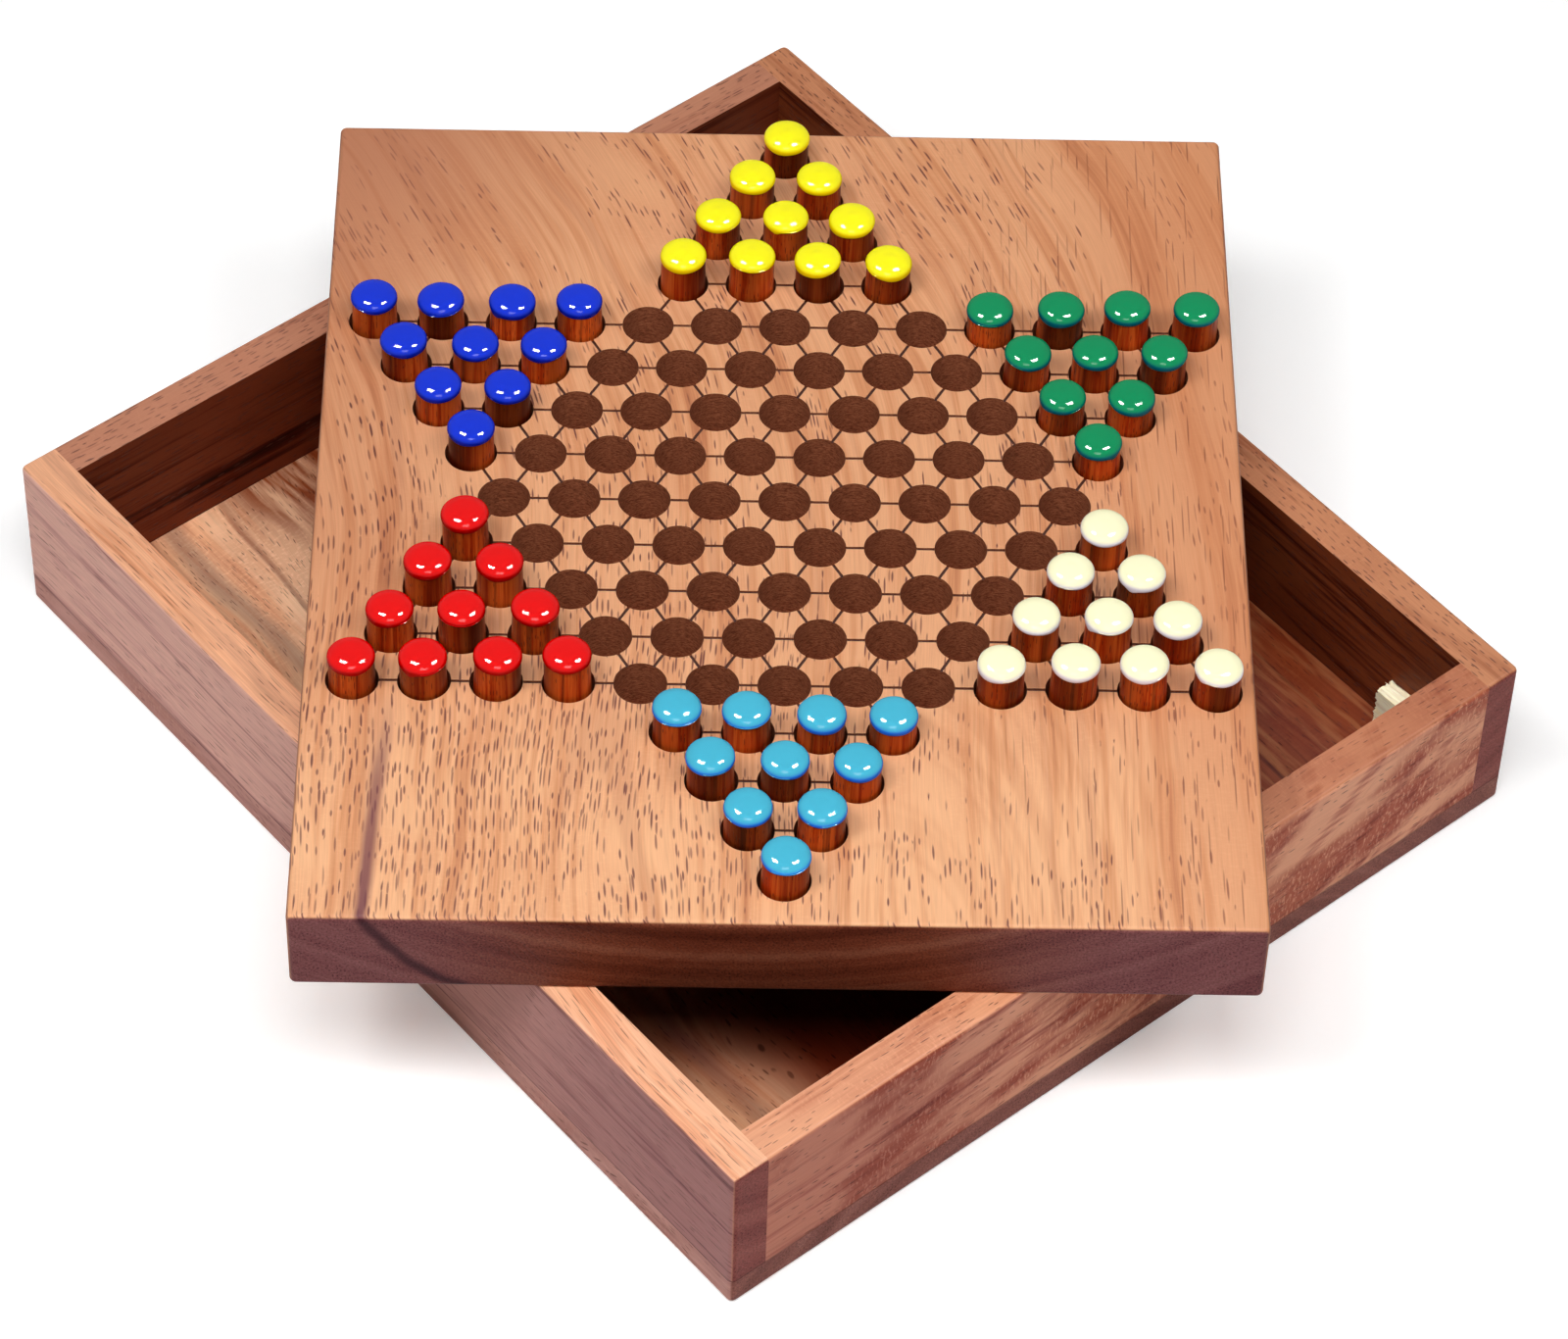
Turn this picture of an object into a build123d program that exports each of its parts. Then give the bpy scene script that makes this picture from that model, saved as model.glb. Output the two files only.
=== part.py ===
from build123d import *
from math import atan, cos, degrees, radians, sin, sqrt, tan
import os

# Halma set: an open wooden tray, a thick board with a star of blind holes that lies
# turned across the tray's rim, and lacquered dowel pegs with dipped enamel caps.
# Millimetres, +Z up. The origin is the middle of the tray's underside.
# X runs along the short side of the tray and Y along its long side.

# Star of holes
PITCH = 16.0                 # hole to hole along each of the three line directions
ARM_ROWS = 4                 # rows of holes in each arm of the star
HOLE_DIAMETER = 12.0
HOLE_DEPTH = 14.0
GROOVE_WIDTH = 0.7           # engraved lines that join neighbouring holes
GROOVE_DEPTH = 0.4
STAR_SHIFT_X = 1.1           # the star sits a little off the middle of the board
STAR_SHIFT_Y = 1.3

# Board
BOARD_WIDTH = 212.0
BOARD_LENGTH = 244.0
BOARD_THICKNESS = 23.0
BOARD_ARRIS = 1.2            # sanded edges
BOARD_CORNER = 1.5
BOARD_TURN = -39.6           # how the board lies on the rim, about +Z
BOARD_OFFSET_X = 1.5
BOARD_OFFSET_Y = -4.0

# Tray
BOARD_CLEARANCE = 0.4        # around the board when it is let into the tray
WALL_THICKNESS = 9.6
BOTTOM_THICKNESS = 7.5
TRAY_HEIGHT = 45.0
TRAY_CORNER = 1.5
TRAY_ARRIS = 1.0
BLOCK_THICKNESS = 5.0        # softwood blocks that hold the let-in board level with the rim
BLOCK_LENGTH = 19.5

# Pegs
PEG_BASE_DIAMETER = 10.9
PEG_TOP_DIAMETER = 10.3
PEG_BASE_CHAMFER = 0.4
PEG_TOP_ROUND = 1.1
PEG_GAP = 0.3                # least space between a peg and the side of its hole
ENAMEL_FILM = 0.35
ENAMEL_DEPTH = 2.2           # how far the dip comes down the side
ENAMEL_SLANT = 5.0           # the dip line is not quite level
LENGTH_SPREAD = 0.7          # the dowels were cut by hand

# How the pegs differ. The shares are of the lean that the play in a hole allows.
LEAN_MIDDLE = 0.6
LEAN_SPREAD = 0.4
LEAN_BEAT = 2                # each varies at its own multiple of the angle from peg to peg
LENGTH_BEAT = 3
SLANT_BEAT = 5

# How far each colour's pegs stand out of the board, to the top of the enamel
STAND_OUT = {"yellow": 10.2, "blue": 9.3, "green": 9.1, "red": 9.9, "white": 9.9, "sky": 8.7}

# Worked out from the sizes above
ROW_SPACING = PITCH * sqrt(3) / 2
TRAY_WIDTH = BOARD_WIDTH + 2 * (BOARD_CLEARANCE + WALL_THICKNESS)
TRAY_LENGTH = BOARD_LENGTH + 2 * (BOARD_CLEARANCE + WALL_THICKNESS)
WALL_HEIGHT = TRAY_HEIGHT - BOTTOM_THICKNESS
INNER_WIDTH = TRAY_WIDTH - 2 * WALL_THICKNESS
INNER_LENGTH = TRAY_LENGTH - 2 * WALL_THICKNESS
BLOCK_HEIGHT = WALL_HEIGHT - BOARD_THICKNESS
PEG_PLAY = (HOLE_DIAMETER - PEG_BASE_DIAMETER) / 2 - PEG_GAP
PEG_LEAN = degrees(atan(2 * PEG_PLAY / HOLE_DEPTH))
GOLDEN_ANGLE = 180 * (3 - sqrt(5))
BOARD_PLACE = Pos(BOARD_OFFSET_X, BOARD_OFFSET_Y, TRAY_HEIGHT) * Rot(0, 0, BOARD_TURN)

# A hole has three whole-number coordinates that add up to zero, one for each direction
# of line. LINE_ANGLES is the direction of the lines along which that coordinate is constant.
LINE_ANGLES = (60, 0, 120)

# The coordinate that goes past the star's hexagon in each colour's arm, a, b or c, and which way
ARMS = {"yellow": "b+", "blue": "a-", "green": "c-", "red": "c+", "white": "a+", "sky": "b-"}


def star_holes():
    """Every hole of the star: two triangles of holes that cross."""
    reach = range(-2 * ARM_ROWS, 2 * ARM_ROWS + 1)
    holes = [(a, b, -a - b) for b in reach for a in reach]
    return [hole for hole in holes if min(hole) >= -ARM_ROWS or max(hole) <= ARM_ROWS]


def hole_place(hole):
    """Middle of a hole in the board's own frame."""
    a, b, _ = hole
    return Vector(STAR_SHIFT_X + (a + b / 2) * PITCH, STAR_SHIFT_Y + b * ROW_SPACING)


def line_of_holes(axis, level):
    return [hole for hole in star_holes() if hole[axis] == level]


# Board
def hole_cutter(hole):
    place = hole_place(hole)
    return Pos(place.X, place.Y, BOARD_THICKNESS - HOLE_DEPTH / 2) * Cylinder(HOLE_DIAMETER / 2, HOLE_DEPTH)


def groove_cutter(axis, line):
    start, end = hole_place(line[0]), hole_place(line[-1])
    middle = (start + end) * 0.5
    place = Pos(middle.X, middle.Y, BOARD_THICKNESS) * Rot(0, 0, LINE_ANGLES[axis])
    return place * Box((end - start).length, GROOVE_WIDTH, 2 * GROOVE_DEPTH)


def make_board():
    blank = Pos(0, 0, BOARD_THICKNESS / 2) * Box(BOARD_WIDTH, BOARD_LENGTH, BOARD_THICKNESS)
    blank = fillet(blank.edges().filter_by(Axis.Z), BOARD_CORNER)
    faces = blank.faces().sort_by(Axis.Z)
    blank = fillet(faces[0].edges() + faces[-1].edges(), BOARD_ARRIS)
    cutters = [hole_cutter(hole) for hole in star_holes()]
    for axis in range(3):
        lines = [line_of_holes(axis, level) for level in range(-2 * ARM_ROWS, 2 * ARM_ROWS + 1)]
        cutters += [groove_cutter(axis, line) for line in lines if len(line) > 1]
    return BOARD_PLACE * (blank - cutters)


# Tray: the long walls run the full length and the short walls stand between them
def tray_outline():
    """The tray's outer form, which every wall and the bottom take their sanded edges from."""
    form = Pos(0, 0, TRAY_HEIGHT / 2) * Box(TRAY_WIDTH, TRAY_LENGTH, TRAY_HEIGHT)
    form = fillet(form.edges().filter_by(Axis.Z), TRAY_CORNER)
    faces = form.faces().sort_by(Axis.Z)
    return fillet(faces[0].edges() + faces[-1].edges(), TRAY_ARRIS)


def make_tray():
    form = tray_outline()
    wall_middle = BOTTOM_THICKNESS + WALL_HEIGHT / 2
    wall_x = (TRAY_WIDTH - WALL_THICKNESS) / 2
    wall_y = (TRAY_LENGTH - WALL_THICKNESS) / 2
    long_wall = Box(WALL_THICKNESS, TRAY_LENGTH, WALL_HEIGHT)
    short_wall = Box(INNER_WIDTH, WALL_THICKNESS, WALL_HEIGHT)
    bottom = Box(TRAY_WIDTH, TRAY_LENGTH, BOTTOM_THICKNESS)
    return {
        "bottom_panel": form & Pos(0, 0, BOTTOM_THICKNESS / 2) * bottom,
        "long_wall_left": form & Pos(-wall_x, 0, wall_middle) * long_wall,
        "long_wall_right": form & Pos(wall_x, 0, wall_middle) * long_wall,
        "short_wall_front": form & Pos(0, -wall_y, wall_middle) * short_wall,
        "short_wall_back": form & Pos(0, wall_y, wall_middle) * short_wall,
    }


def make_blocks():
    """One softwood block in each corner of the tray, glued to the long walls."""
    block = Box(BLOCK_THICKNESS, BLOCK_LENGTH, BLOCK_HEIGHT)
    x = (INNER_WIDTH - BLOCK_THICKNESS) / 2
    y = (INNER_LENGTH - BLOCK_LENGTH) / 2
    z = BOTTOM_THICKNESS + BLOCK_HEIGHT / 2
    corners = {"front_left": (-x, -y), "front_right": (x, -y), "back_left": (-x, y), "back_right": (x, y)}
    return {f"support_block_{name}": Pos(*corner, z) * block for name, corner in corners.items()}


# Pegs
def turned(outline):
    """Solid of revolution about Z of a closed outline drawn in X and Z."""
    return revolve(Plane.XZ * make_face(outline), Axis.Z)


def peg_blank(length, top_radius, round_radius):
    """A peg standing on the origin, with its upper edge rounded."""
    base_radius = PEG_BASE_DIAMETER / 2
    outline = Polyline(
        (0, 0),
        (base_radius - PEG_BASE_CHAMFER, 0),
        (base_radius, PEG_BASE_CHAMFER),
        (top_radius, length),
        (0, length),
        close=True,
    )
    solid = turned(outline)
    return fillet(solid.edges().filter_by(GeomType.CIRCLE).sort_by(Axis.Z)[-1], round_radius)


def make_peg(hole, stand_out):
    """One wooden peg and its enamel cap, leaning in its hole as far as the play lets it."""
    a, b, _ = hole
    count = 2 * ARM_ROWS * b + a
    lean_way = GOLDEN_ANGLE * count
    lean_share = LEAN_MIDDLE + LEAN_SPREAD * cos(radians(lean_way * LEAN_BEAT))
    length = HOLE_DEPTH + stand_out - ENAMEL_FILM + LENGTH_SPREAD * sin(radians(lean_way * LENGTH_BEAT))

    wood = peg_blank(length, PEG_TOP_DIAMETER / 2, PEG_TOP_ROUND)
    dipped = peg_blank(length + ENAMEL_FILM, PEG_TOP_DIAMETER / 2 + ENAMEL_FILM, PEG_TOP_ROUND + ENAMEL_FILM)
    dip_width = 2 * PEG_BASE_DIAMETER
    dip = Pos(0, 0, length / 2) * Box(dip_width, dip_width, length)
    dip_line = Pos(0, 0, length - ENAMEL_DEPTH) * Rot(0, 0, lean_way * SLANT_BEAT) * Rot(ENAMEL_SLANT, 0, 0)
    cap = (dipped & dip_line * dip) - wood

    lean = PEG_LEAN * lean_share
    lift = tan(radians(lean)) * PEG_BASE_DIAMETER / 2
    place = hole_place(hole)
    foot = Pos(place.X, place.Y, BOARD_THICKNESS - HOLE_DEPTH + lift)
    stance = BOARD_PLACE * foot * Rot(0, 0, lean_way) * Pos(-PEG_PLAY * lean_share, 0, 0) * Rot(0, lean, 0)
    upright = Rot(0, 0, -lean_way)
    return stance * upright * wood, stance * upright * cap


def make_pegs():
    """Each row of an arm is a node of pegs and a node of their caps."""
    nodes = {}
    for colour, (letter, sign) in ARMS.items():
        axis = "abc".index(letter)
        for row in range(1, ARM_ROWS + 1):
            level = 2 * ARM_ROWS + 1 - row
            holes = line_of_holes(axis, level if sign == "+" else -level)
            pairs = [make_peg(hole, STAND_OUT[colour]) for hole in holes]
            nodes[f"{colour}_pegs_row_{row}"] = Compound([wood for wood, _ in pairs])
            nodes[f"{colour}_caps_row_{row}"] = Compound([cap for _, cap in pairs])
    return nodes


os.makedirs("parts", exist_ok=True)
nodes = {**make_tray(), **make_blocks(), "board": make_board(), **make_pegs()}
for name, shape in nodes.items():
    export_step(shape, f"parts/{name}.step")
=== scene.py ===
import math
import random
from collections import namedtuple

import bmesh
import bpy
from mathutils import Matrix, Vector


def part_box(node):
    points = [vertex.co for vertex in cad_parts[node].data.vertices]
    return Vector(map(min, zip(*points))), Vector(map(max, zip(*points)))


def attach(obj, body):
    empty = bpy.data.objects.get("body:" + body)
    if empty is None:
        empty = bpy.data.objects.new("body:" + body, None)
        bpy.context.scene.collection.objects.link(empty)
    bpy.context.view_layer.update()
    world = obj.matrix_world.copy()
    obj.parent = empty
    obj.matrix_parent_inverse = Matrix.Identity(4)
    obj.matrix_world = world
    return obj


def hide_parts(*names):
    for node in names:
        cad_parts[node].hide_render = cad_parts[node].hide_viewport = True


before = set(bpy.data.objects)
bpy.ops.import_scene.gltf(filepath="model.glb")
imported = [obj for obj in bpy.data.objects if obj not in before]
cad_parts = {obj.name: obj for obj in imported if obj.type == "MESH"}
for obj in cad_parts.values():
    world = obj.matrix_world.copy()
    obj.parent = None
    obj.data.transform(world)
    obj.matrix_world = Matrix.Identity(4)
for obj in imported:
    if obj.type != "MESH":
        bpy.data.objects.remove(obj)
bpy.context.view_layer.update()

MM = 0.001

# Camera, in metres and degrees in the row frame
CAMERA_PLACE = Vector((-0.60467, -0.70429, 1.07938))
CAMERA_AIM = Vector((-0.02915, -0.04265, 0.068))
CAMERA_ROLL = 1.945
CAMERA_LENS = 137.99          # mm
CAMERA_SENSOR = 36.0          # mm
CAMERA_RANGE = (0.05, 20.0)
CAMERA_AZIMUTH = 41.0         # which way the camera looks, from +Y towards +X

# Light
WORLD_LIGHT = 0.13
FLOOR_SIZE = 6.0
FLOOR_GLOW = 0.25             # lifts the floor to white for the camera alone
# Each light: azimuth to the camera's right, elevation, distance, width, power,
# whether it lights colours and whether it shows in gloss
LIGHTS = {
    "key_left": (-50, 62, 1.5, 0.45, 8.4, True, False),
    "key_right": (56, 60, 1.5, 0.45, 5.6, True, False),
    "front": (0, 66, 1.5, 0.50, 9.0, True, True),
    "sparkle_left": (-120, 69, 1.5, 0.34, 68.0, False, True),
    "sparkle_right": (120, 69, 1.5, 0.34, 68.0, False, True),
}

# Board, in its own frame: millimetres from the middle of its underside
BOARD_LOW, BOARD_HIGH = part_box("board")
BOARD_TURN = math.radians(-39.6)
BOARD_MIDDLE = Vector((
    (BOARD_LOW.x + BOARD_HIGH.x) / 2,
    (BOARD_LOW.y + BOARD_HIGH.y) / 2,
    BOARD_LOW.z,
))
BOARD_THICKNESS = (BOARD_HIGH.z - BOARD_LOW.z) / MM
BOARD_WIDTH = 212.0
BOARD_LENGTH = 244.0

ARM_ROWS = 4
BLOCK_CORNERS = ("front_left", "front_right", "back_left", "back_right")

# Turns that bring the grain onto y
ALONG_X = (0, 0, math.radians(90))
ALONG_Y = (0, 0, 0)
ALONG_Z = (math.radians(90), 0, 0)


def srgb(red, green, blue):
    """A colour given as 0 to 255 screen values, as linear RGBA."""
    def linear(value):
        value /= 255
        return value / 12.92 if value <= 0.04045 else ((value + 0.055) / 1.055) ** 2.4
    return (linear(red), linear(green), linear(blue), 1.0)


class Tree:
    """Short calls for building one material's nodes."""

    def __init__(self, name):
        self.material = bpy.data.materials.new(name)
        self.material.use_nodes = True
        self.nodes = self.material.node_tree.nodes
        self.links = self.material.node_tree.links
        self.shader = self.nodes["Principled BSDF"]

    def plug(self, socket, value):
        if isinstance(value, bpy.types.NodeSocket):
            self.links.new(value, socket)
        else:
            socket.default_value = value

    def made(self, kind, inputs, **settings):
        made = self.nodes.new(kind)
        for key, value in settings.items():
            setattr(made, key, value)
        for key, value in inputs.items():
            self.plug(made.inputs[key], value)
        return made

    def node(self, kind, inputs, **settings):
        return self.made(kind, inputs, **settings).outputs[0]

    def math(self, operation, first, second=0.0):
        return self.node("ShaderNodeMath", {0: first, 1: second}, operation=operation)

    def add(self, first, second):
        return self.math("ADD", first, second)

    def sub(self, first, second):
        return self.math("SUBTRACT", first, second)

    def mul(self, first, *others):
        for other in others:
            first = self.math("MULTIPLY", first, other)
        return first

    def size(self, value):
        return self.math("ABSOLUTE", value)

    def length(self, *parts):
        total = self.mul(parts[0], parts[0])
        for part in parts[1:]:
            total = self.add(total, self.mul(part, part))
        return self.math("SQRT", total)

    def between(self, value, low, high):
        """0 at low, 1 at high and past it, smooth between. High may be the smaller one."""
        ends = {"To Min": 0.0, "To Max": 1.0} if low < high else {"To Min": 1.0, "To Max": 0.0}
        inputs = {"Value": value, "From Min": min(low, high), "From Max": max(low, high), **ends}
        return self.node("ShaderNodeMapRange", inputs, interpolation_type="SMOOTHSTEP")

    def scaled(self, value, low, high, to_low, to_high):
        inputs = {"Value": value, "From Min": low, "From Max": high, "To Min": to_low, "To Max": to_high}
        return self.node("ShaderNodeMapRange", inputs)

    def noise(self, vector, detail=2.0, roughness=0.5, scale=1.0):
        inputs = {"Vector": vector, "Scale": scale, "Detail": detail, "Roughness": roughness}
        return self.node("ShaderNodeTexNoise", inputs)

    def noise_1d(self, value, detail=2.0, roughness=0.5):
        inputs = {"W": value, "Scale": 1.0, "Detail": detail, "Roughness": roughness}
        return self.node("ShaderNodeTexNoise", inputs, noise_dimensions="1D")

    def mix(self, share, first, second, blend="MIX"):
        inputs = {0: share, 6: first, 7: second}
        return self.made("ShaderNodeMix", inputs, data_type="RGBA", blend_type=blend).outputs[2]

    def times(self, colour, tint):
        return self.mix(1.0, colour, tint, "MULTIPLY")

    def shaded(self, share, colour, tint):
        """The colour, multiplied by a tint as far as share says."""
        return self.mix(share, colour, self.times(colour, tint))

    def grey(self, value):
        return self.join(value, value, value)

    def split(self, vector):
        return tuple(self.made("ShaderNodeSeparateXYZ", {0: vector}).outputs)

    def join(self, x, y, z):
        return self.node("ShaderNodeCombineXYZ", {0: x, 1: y, 2: z})

    def stretch(self, x, y, z, across, along):
        """A place in wood whose grain runs along y, in cells of those sizes in millimetres."""
        return self.join(self.mul(x, 1 / across), self.mul(y, 1 / along), self.mul(z, 1 / across))

    def ramp(self, share, stops):
        made = self.made("ShaderNodeValToRGB", {0: share})
        elements = made.color_ramp.elements
        while len(elements) < len(stops):
            elements.new(0.5)
        for element, (place, colour) in zip(elements, stops):
            element.position = place
            element.color = colour
        return made.outputs[0]

    def place(self, origin, turn):
        """Object coordinates in millimetres from origin, turned so that the grain runs along y."""
        where = self.made("ShaderNodeTexCoord", {}).outputs["Object"]
        inputs = {"Vector": where, "Location": origin, "Rotation": turn, "Scale": (MM, MM, MM)}
        return self.split(self.node("ShaderNodeMapping", inputs, vector_type="TEXTURE"))

    def facing(self, turn):
        normal = self.made("ShaderNodeTexCoord", {}).outputs["Normal"]
        inputs = {"Vector": normal, "Rotation": turn}
        return self.split(self.node("ShaderNodeMapping", inputs, vector_type="TEXTURE"))

    def dashes(self, across, along, cell, half, threshold):
        """Short marks along the grain: 1 in a mark. Threshold says how rare they are, 0 to 1."""
        point = self.join(self.mul(across, 1 / cell[0]), self.mul(along, 1 / cell[1]), 0.0)
        made = self.made("ShaderNodeTexVoronoi", {"Vector": point, "Scale": 1.0}, voronoi_dimensions="2D")
        ends = {0: made.outputs["Position"], 1: point}
        offset = self.node("ShaderNodeVectorMath", ends, operation="SUBTRACT")
        dx, dy, _ = self.split(offset)
        chance, reach, weight = self.split(made.outputs["Color"])
        tall = self.scaled(reach, 0.0, 1.0, half[1] * 0.35 / cell[1], half[1] * 1.25 / cell[1])
        distance = self.length(self.mul(dx, cell[0] / half[0]), self.math("DIVIDE", dy, tall))
        mark = self.between(distance, 1.0, 0.45)
        kept = self.between(self.sub(chance, threshold), -0.04, 0.04)
        return self.mul(mark, kept, self.scaled(weight, 0, 1, 0.45, 1))

    def surface(self, inputs):
        for name, value in inputs.items():
            self.plug(self.shader.inputs[name], value)

    def relief(self, height, strength, depth):
        """Bumps of the surface. Depth is in millimetres."""
        inputs = {"Height": height, "Strength": strength, "Distance": depth * MM}
        self.surface({"Normal": self.node("ShaderNodeBump", inputs)})


# Wood
WOOD = {
    "wander": 14.0, "wander_across": 55.0, "wander_along": 120.0,   # how the grain lines drift
    "pith": (25.0, 95.0), "ring": 9.0, "drift": 0.02, "bow": 0.0,   # growth rings round the pith
    "streak": 1.6, "band_share": 0.5, "contrast": 1.0,
    "vein": srgb(112, 62, 50), "veins": 0.5, "vein_ring": 5.0,
    "fibre": 0.08, "pore": srgb(84, 44, 36), "pore_depth": 0.8,
    "pore_cell": (1.1, 5.0), "pore_half": (0.17, 1.5), "pore_crowd": 0.45,
    "figure": 0.0, "stain": srgb(196, 140, 128),                     # soft stained patches with curls
}


# Tone goes from 0, dark, to 1, pale. Radius counts the growth rings: the distance from the pith,
# with their drift and bow along the wood added.
Grain = namedtuple("Grain", "tone veins fibre pores figure radius")


def grain(tree, place, look, slant=None, crowding=None):
    """The grain of solid wood. Slant bends its lines and crowding adds pores, where they are given."""
    x, y, z = place
    wander = tree.noise(tree.stretch(x, y, z, look["wander_across"], look["wander_along"]))
    u = tree.add(x, tree.mul(tree.sub(wander, 0.5), look["wander"]))
    if slant:
        u = tree.add(u, slant)
    radius = tree.length(tree.sub(u, look["pith"][0]), tree.sub(z, look["pith"][1]))
    radius = tree.add(radius, tree.add(tree.mul(y, look["drift"]), tree.mul(tree.mul(y, y), look["bow"])))
    bands = tree.noise_1d(tree.mul(radius, 1 / look["ring"]), 4.0, 0.6)
    streaks = tree.noise(tree.stretch(u, y, z, look["streak"], look["streak"] * 45), 3.0, 0.6)
    patches = tree.noise(tree.stretch(u, y, z, 22.0, 60.0), 3.0, 0.55)
    share = look["band_share"]
    tone = tree.add(tree.mul(bands, share), tree.mul(streaks, 0.7 - share * 0.5))
    tone = tree.add(tone, tree.mul(patches, 0.3 - share * 0.5 + 0.25))
    tone = tree.scaled(tone, 0.49 - 0.24 / look["contrast"], 0.49 + 0.24 / look["contrast"], 0.0, 1.0)

    ridge = tree.noise_1d(tree.add(tree.mul(radius, 1 / look["vein_ring"]), 31.7), 2.0, 0.5)
    veins = tree.mul(tree.between(ridge, 0.60, 0.70), tree.between(patches, 0.36, 0.56), look["veins"])
    fibre = tree.noise(tree.stretch(u, y, z, 0.32, 12.0), 2.0, 0.6)

    crowd = tree.noise(tree.stretch(u, y, z, 16.0, 26.0), 2.0, 0.6)
    rare = tree.scaled(crowd, 0.34, 0.66, look["pore_crowd"] + 0.45, look["pore_crowd"] - 0.45)
    if crowding:
        rare = tree.sub(rare, crowding)
    figure = None
    if look["figure"]:
        zone = tree.noise(tree.stretch(u, tree.add(y, tree.mul(z, 0.9)), z, 15.0, 30.0), 2.0, 0.55)
        curl = tree.noise(tree.stretch(tree.add(u, tree.mul(y, 0.5)), y, z, 1.9, 0.75), 2.0, 0.6)
        figure = tree.between(zone, 0.40, 0.64), tree.between(curl, 0.50, 0.66)
    across = tree.add(u, tree.mul(z, 0.73))
    pores = tree.dashes(across, y, look["pore_cell"], look["pore_half"], rare)
    return Grain(tone, veins, fibre, pores, figure, radius)


def wood_colour(tree, palette, look, wood, figured=1.0):
    """Colour of a face cut along the grain. Figured says how much veins and stains show on it."""
    dark, mid, pale, glow = (srgb(*colour) for colour in palette)
    colour = tree.ramp(wood.tone, [(0.05, dark), (0.38, mid), (0.64, pale), (0.95, glow)])
    if wood.figure:
        zone, curl = wood.figure
        stained = tree.mix(tree.mul(curl, 0.6), tree.times(colour, look["stain"]), colour)
        colour = tree.mix(tree.mul(zone, look["figure"] * figured), colour, stained)
    colour = tree.mix(tree.mul(wood.veins, figured), colour, look["vein"])
    shade = tree.scaled(wood.fibre, 0.25, 0.75, 1 - look["fibre"], 1 + look["fibre"])
    colour = tree.times(colour, tree.grey(shade))
    return tree.mix(tree.mul(wood.pores, look["pore_depth"]), colour, look["pore"])


def end_colour(tree, place, palette, wood, banding=0.12, heart_and_painted_shade=None):
    """End grain, with cut pores as dots. Heart is the middle of its rings, if not the grain's own."""
    x, _, z = place
    dark, mid, pale, glow = (srgb(*colour) for colour in palette)
    wave = tree.noise(tree.join(tree.mul(x, 1 / 7), tree.mul(z, 1 / 4), 0.0), 3.0, 0.6)
    radius = tree.length(tree.sub(x, heart_and_painted_shade[0]), tree.sub(z, heart_and_painted_shade[1])) if heart_and_painted_shade else wood.radius
    radius = tree.add(radius, tree.mul(tree.sub(wave, 0.5), 2.4))
    bands = tree.noise_1d(tree.mul(radius, 1 / 6.5), 3.0, 0.55)
    tone = tree.scaled(bands, 0.3, 0.7, 0.5 - banding, 0.5 + banding)
    tone = tree.add(tone, tree.mul(wood.tone, 0.15))
    colour = tree.ramp(tone, [(0.1, dark), (0.4, mid), (0.65, pale), (0.95, glow)])
    speckle = tree.noise(tree.join(tree.mul(x, 1 / 0.55), tree.mul(z, 1 / 0.55), 0.0), 2.0, 0.7)
    colour = tree.times(colour, tree.grey(tree.scaled(speckle, 0.3, 0.7, 0.64, 1.36)))
    dots = tree.dashes(x, z, (0.85, 0.85), (0.25, 0.28), 0.38)
    rows = tree.scaled(bands, 0.40, 0.60, 0.75, 0.30)
    return tree.shaded(tree.mul(dots, rows), colour, srgb(104, 76, 76))


def finish_wood(tree, colour, wood, roughness=0.42, coat=0.0, depth=0.10):
    tree.relief(tree.sub(tree.mul(wood.fibre, 0.4), wood.pores), 0.5, depth)
    tree.surface({
        "Base Color": colour, "Roughness": roughness, "Specular IOR Level": 0.05,
        "Coat Weight": coat, "Coat Roughness": 0.25,
    })
    return tree.material


BOARD_TOP = ((158, 90, 58), (195, 129, 88), (216, 152, 106), (231, 173, 128))
BOARD_SIDE = ((96, 54, 42), (132, 80, 60), (152, 98, 74), (168, 114, 86))
BOARD_END = ((44, 10, 6), (80, 32, 18), (104, 50, 32), (126, 72, 52))
BOARD_END_OUTER = ((62, 26, 30), (97, 50, 52), (117, 69, 69), (136, 88, 86))
BOARD_LOOK = {
    **WOOD,
    "pith": (-40.0, 49.0), "ring": 10.0, "drift": 0.05, "contrast": 1.4,
    "vein": srgb(160, 92, 62), "veins": 0.22,
    "pore": srgb(100, 48, 50), "pore_depth": 0.9,
    "pore_cell": (1.15, 5.8), "pore_half": (0.30, 3.2), "pore_crowd": 0.62,
    "figure": 0.15, "stain": srgb(222, 178, 160),
}
BOARD_HEART = (-10.0, 190.0)   # middle of the rings that show on the ends
BOARD_STREAK_PITH = (-40.4, 49.4)
BOARD_STREAK_RADIUS = 56.5     # a dark growth ring that comes up at the left of the front edge
BOARD_RIM = 1.5                # wood this near to the sides is never inside a hole
BORE_DARK = srgb(106, 54, 34)
BORE_PALE = srgb(176, 106, 74)
ENGRAVED = srgb(70, 40, 32)


def board_grain(tree, place):
    """The grain slants more and more towards the back of the board, most at its left."""
    x, y, _ = place
    back = tree.math("MAXIMUM", tree.add(y, 20.0), 0.0)
    slant = tree.mul(back, back, tree.scaled(x, -106, 106, 0.0021, 0.0012))
    open_grain = tree.mul(tree.between(x, 45.0, -60.0), tree.between(y, 0.0, -70.0), 0.50)
    crowding = tree.sub(open_grain, tree.mul(tree.between(y, -10.0, 50.0), 0.16))
    crowding = tree.sub(crowding, tree.mul(tree.between(x, 10.0, 70.0), 0.22))
    return grain(tree, place, BOARD_LOOK, slant, crowding)


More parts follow.
